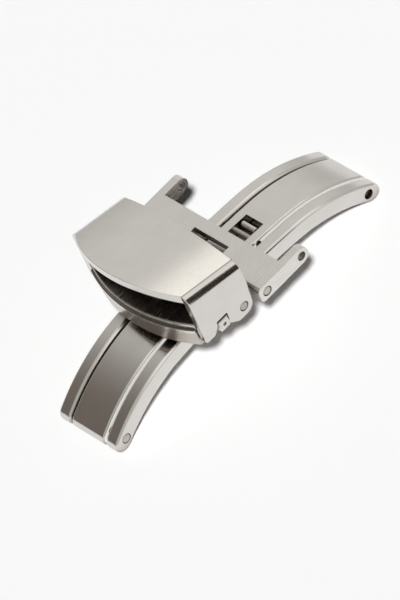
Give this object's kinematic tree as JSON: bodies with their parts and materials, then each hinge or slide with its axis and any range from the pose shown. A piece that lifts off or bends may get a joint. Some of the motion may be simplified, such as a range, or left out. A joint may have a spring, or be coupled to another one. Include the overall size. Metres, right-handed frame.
{
  "type": "deployant clasp",
  "caption": "Folding watch-strap clasp: an arched frame with nested arms, a hooded strap box with push-buttons and a tilting lug plate, shown closed.",
  "frame": {"origin": "under the middle of the clasp, level with the two ends of the arch that it stands on", "axes": "+X along the strap from the strap box towards the lug plate's end, +Y across the strap, +Z away from the wrist"},
  "size_m": [0.0422, 0.02, 0.0177],
  "materials": {
    "frame_steel": "satin sides, polished edges",
    "arm_steel": "satin",
    "right_arm_steel": "satin",
    "lug_steel": "satin",
    "cover_steel": "fine satin top, polished sides",
    "button_steel": "polished",
    "floor_steel": "satin",
    "housing_steel": "satin",
    "pin_steel": "polished",
    "dark_pin": "dull",
    "inner_steel": "machined",
    "spring_steel": "drawn wire"
  },
  "bodies": {
    "base": {"base_frame": "frame_steel", "keeper_post": "inner_steel", "keeper_hook": "inner_steel", "left_hinge_pin": "pin_steel", "right_hinge_pin": "dark_pin"},
    "left_arm_group": {"left_arm": "arm_steel", "latch_housing": "housing_steel", "carrier_plate": "floor_steel", "strap_plate": "floor_steel", "tang": "inner_steel", "housing_screws": "inner_steel", "cover_pin": "pin_steel", "left_button_spring": "spring_steel", "right_button_spring": "spring_steel"},
    "cover_group": {"cover": "cover_steel"},
    "left_button_group": {"left_button": "button_steel", "left_latch_slide": "inner_steel"},
    "right_button_group": {"right_button": "button_steel", "right_latch_slide": "inner_steel"},
    "right_arm_group": {"right_arm": "right_arm_steel", "catch_bar": "pin_steel", "lug_pin": "pin_steel"},
    "lug_plate_group": {"lug_plate": "lug_steel"}
  },
  "joints": [
    {"name": "left_arm_hinge", "type": "hinge", "parent": "base", "child": "left_arm_group", "pos_m": [-0.01945, 0, 0.00149], "axis": [0, -1, 0], "range_deg": [0, 165]},
    {"name": "right_arm_hinge", "type": "hinge", "parent": "base", "child": "right_arm_group", "pos_m": [0.01945, 0, 0.00149], "axis": [0, 1, 0], "range_deg": [0, 165]},
    {"name": "cover_hinge", "type": "hinge", "parent": "left_arm_group", "child": "cover_group", "pos_m": [-0.00231, 0, 0.00866], "axis": [0, 1, 0], "range_deg": [0, 20]},
    {"name": "lug_plate_hinge", "type": "hinge", "parent": "right_arm_group", "child": "lug_plate_group", "pos_m": [0.00064, 0, 0.00849], "axis": [0, -1, 0], "range_deg": [-20, 30]},
    {"name": "left_button_slide", "type": "slide", "parent": "left_arm_group", "child": "left_button_group", "axis": [0, -1, 0], "range_m": [0, 0.0008], "stiffness_N_per_m": 1000, "springref_m": -0.0004},
    {"name": "right_button_slide", "type": "slide", "parent": "left_arm_group", "child": "right_button_group", "axis": [0, 1, 0], "range_m": [0, 0.0008], "stiffness_N_per_m": 1000, "springref_m": -0.0004}
  ]
}
